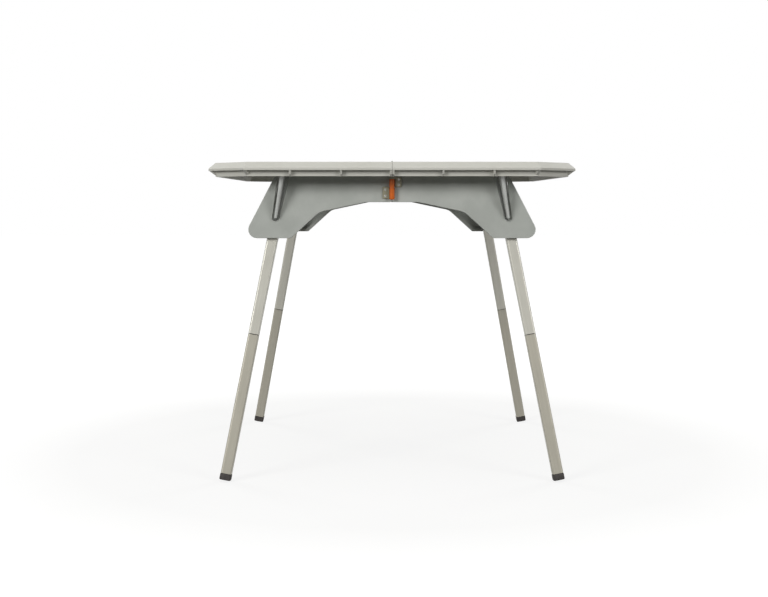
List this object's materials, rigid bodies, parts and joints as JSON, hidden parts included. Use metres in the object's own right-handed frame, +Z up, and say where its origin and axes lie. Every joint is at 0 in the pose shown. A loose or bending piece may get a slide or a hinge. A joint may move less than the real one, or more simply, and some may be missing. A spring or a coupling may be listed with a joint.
{
  "type": "camping table",
  "caption": "Square camping table with cut corners, a top that folds in half, arched aprons and splayed plug-in legs that also come apart for a low table.",
  "frame": {"origin": "centre of the table's footprint, at the floor", "axes": "+Z up; the front apron faces -Y; the left half is at -X and the right half at +X"},
  "size_m": [0.844, 0.844, 0.7326],
  "materials": {
    "moulded_top": "fine-grained moulded plastic, warm pale grey",
    "apron_grey": "smooth satin moulded plastic, mid grey",
    "bracket_grey": "cast aluminium with a satin grey coat",
    "leg_metal": "extruded tube, satin champagne anodised",
    "dark_moulding": "matte black moulded plastic",
    "foot_rubber": "matte black rubber",
    "hinge_metal": "plain satin steel",
    "catch_orange": "turned barrel, glossy orange coat"
  },
  "bodies": {
    "left_half": {"left_top": "moulded_top", "hinge_left_leaf": "hinge_metal", "hinge_pin": "hinge_metal", "front_left_apron": "apron_grey", "front_left_leg_bracket": "bracket_grey", "front_left_collar": "dark_moulding", "front_left_catch": "hinge_metal", "rear_left_apron": "apron_grey", "rear_left_leg_bracket": "bracket_grey", "rear_left_collar": "dark_moulding", "rear_left_catch": "hinge_metal"},
    "right_half": {"right_top": "moulded_top", "hinge_right_leaf": "hinge_metal", "front_right_apron": "apron_grey", "front_right_leg_bracket": "bracket_grey", "front_right_collar": "dark_moulding", "front_right_catch": "hinge_metal", "rear_right_apron": "apron_grey", "rear_right_leg_bracket": "bracket_grey", "rear_right_collar": "dark_moulding", "rear_right_catch": "hinge_metal"},
    "front_barrel": {"front_barrel": "catch_orange"},
    "rear_barrel": {"rear_barrel": "catch_orange"},
    "front_left_upper_leg": {"front_left_upper_leg": "leg_metal", "front_left_leg_joiner": "dark_moulding"},
    "front_left_lower_leg": {"front_left_lower_leg": "leg_metal", "front_left_foot": "foot_rubber"},
    "front_right_upper_leg": {"front_right_upper_leg": "leg_metal", "front_right_leg_joiner": "dark_moulding"},
    "front_right_lower_leg": {"front_right_lower_leg": "leg_metal", "front_right_foot": "foot_rubber"},
    "rear_left_upper_leg": {"rear_left_upper_leg": "leg_metal", "rear_left_leg_joiner": "dark_moulding"},
    "rear_left_lower_leg": {"rear_left_lower_leg": "leg_metal", "rear_left_foot": "foot_rubber"},
    "rear_right_upper_leg": {"rear_right_upper_leg": "leg_metal", "rear_right_leg_joiner": "dark_moulding"},
    "rear_right_lower_leg": {"rear_right_lower_leg": "leg_metal", "rear_right_foot": "foot_rubber"}
  },
  "joints": [
    {"name": "fold", "type": "hinge", "parent": "left_half", "child": "right_half", "pos_m": [0, 0, 0.7303], "axis": [0, -1, 0], "range_deg": [0, 180]},
    {"name": "front_barrel_turn", "type": "hinge", "parent": "right_half", "child": "front_barrel", "pos_m": [0, -0.34745, 0.67], "axis": [0, 0, 1], "continuous": true},
    {"name": "rear_barrel_turn", "type": "hinge", "parent": "right_half", "child": "rear_barrel", "pos_m": [0, 0.34745, 0.67], "axis": [0, 0, 1], "continuous": true},
    {"name": "front_left_leg_pull", "type": "slide", "parent": "left_half", "child": "front_left_upper_leg", "axis": [-0.1886, -0.1267, -0.9739], "range_m": [0, 0.15]},
    {"name": "front_left_lower_leg_pull", "type": "slide", "parent": "front_left_upper_leg", "child": "front_left_lower_leg", "axis": [-0.1886, -0.1267, -0.9739], "range_m": [0, 0.068]},
    {"name": "front_right_leg_pull", "type": "slide", "parent": "right_half", "child": "front_right_upper_leg", "axis": [0.1886, -0.1267, -0.9739], "range_m": [0, 0.15]},
    {"name": "front_right_lower_leg_pull", "type": "slide", "parent": "front_right_upper_leg", "child": "front_right_lower_leg", "axis": [0.1886, -0.1267, -0.9739], "range_m": [0, 0.068]},
    {"name": "rear_left_leg_pull", "type": "slide", "parent": "left_half", "child": "rear_left_upper_leg", "axis": [-0.1886, 0.1267, -0.9739], "range_m": [0, 0.15]},
    {"name": "rear_left_lower_leg_pull", "type": "slide", "parent": "rear_left_upper_leg", "child": "rear_left_lower_leg", "axis": [-0.1886, 0.1267, -0.9739], "range_m": [0, 0.068]},
    {"name": "rear_right_leg_pull", "type": "slide", "parent": "right_half", "child": "rear_right_upper_leg", "axis": [0.1886, 0.1267, -0.9739], "range_m": [0, 0.15]},
    {"name": "rear_right_lower_leg_pull", "type": "slide", "parent": "rear_right_upper_leg", "child": "rear_right_lower_leg", "axis": [0.1886, 0.1267, -0.9739], "range_m": [0, 0.068]}
  ]
}
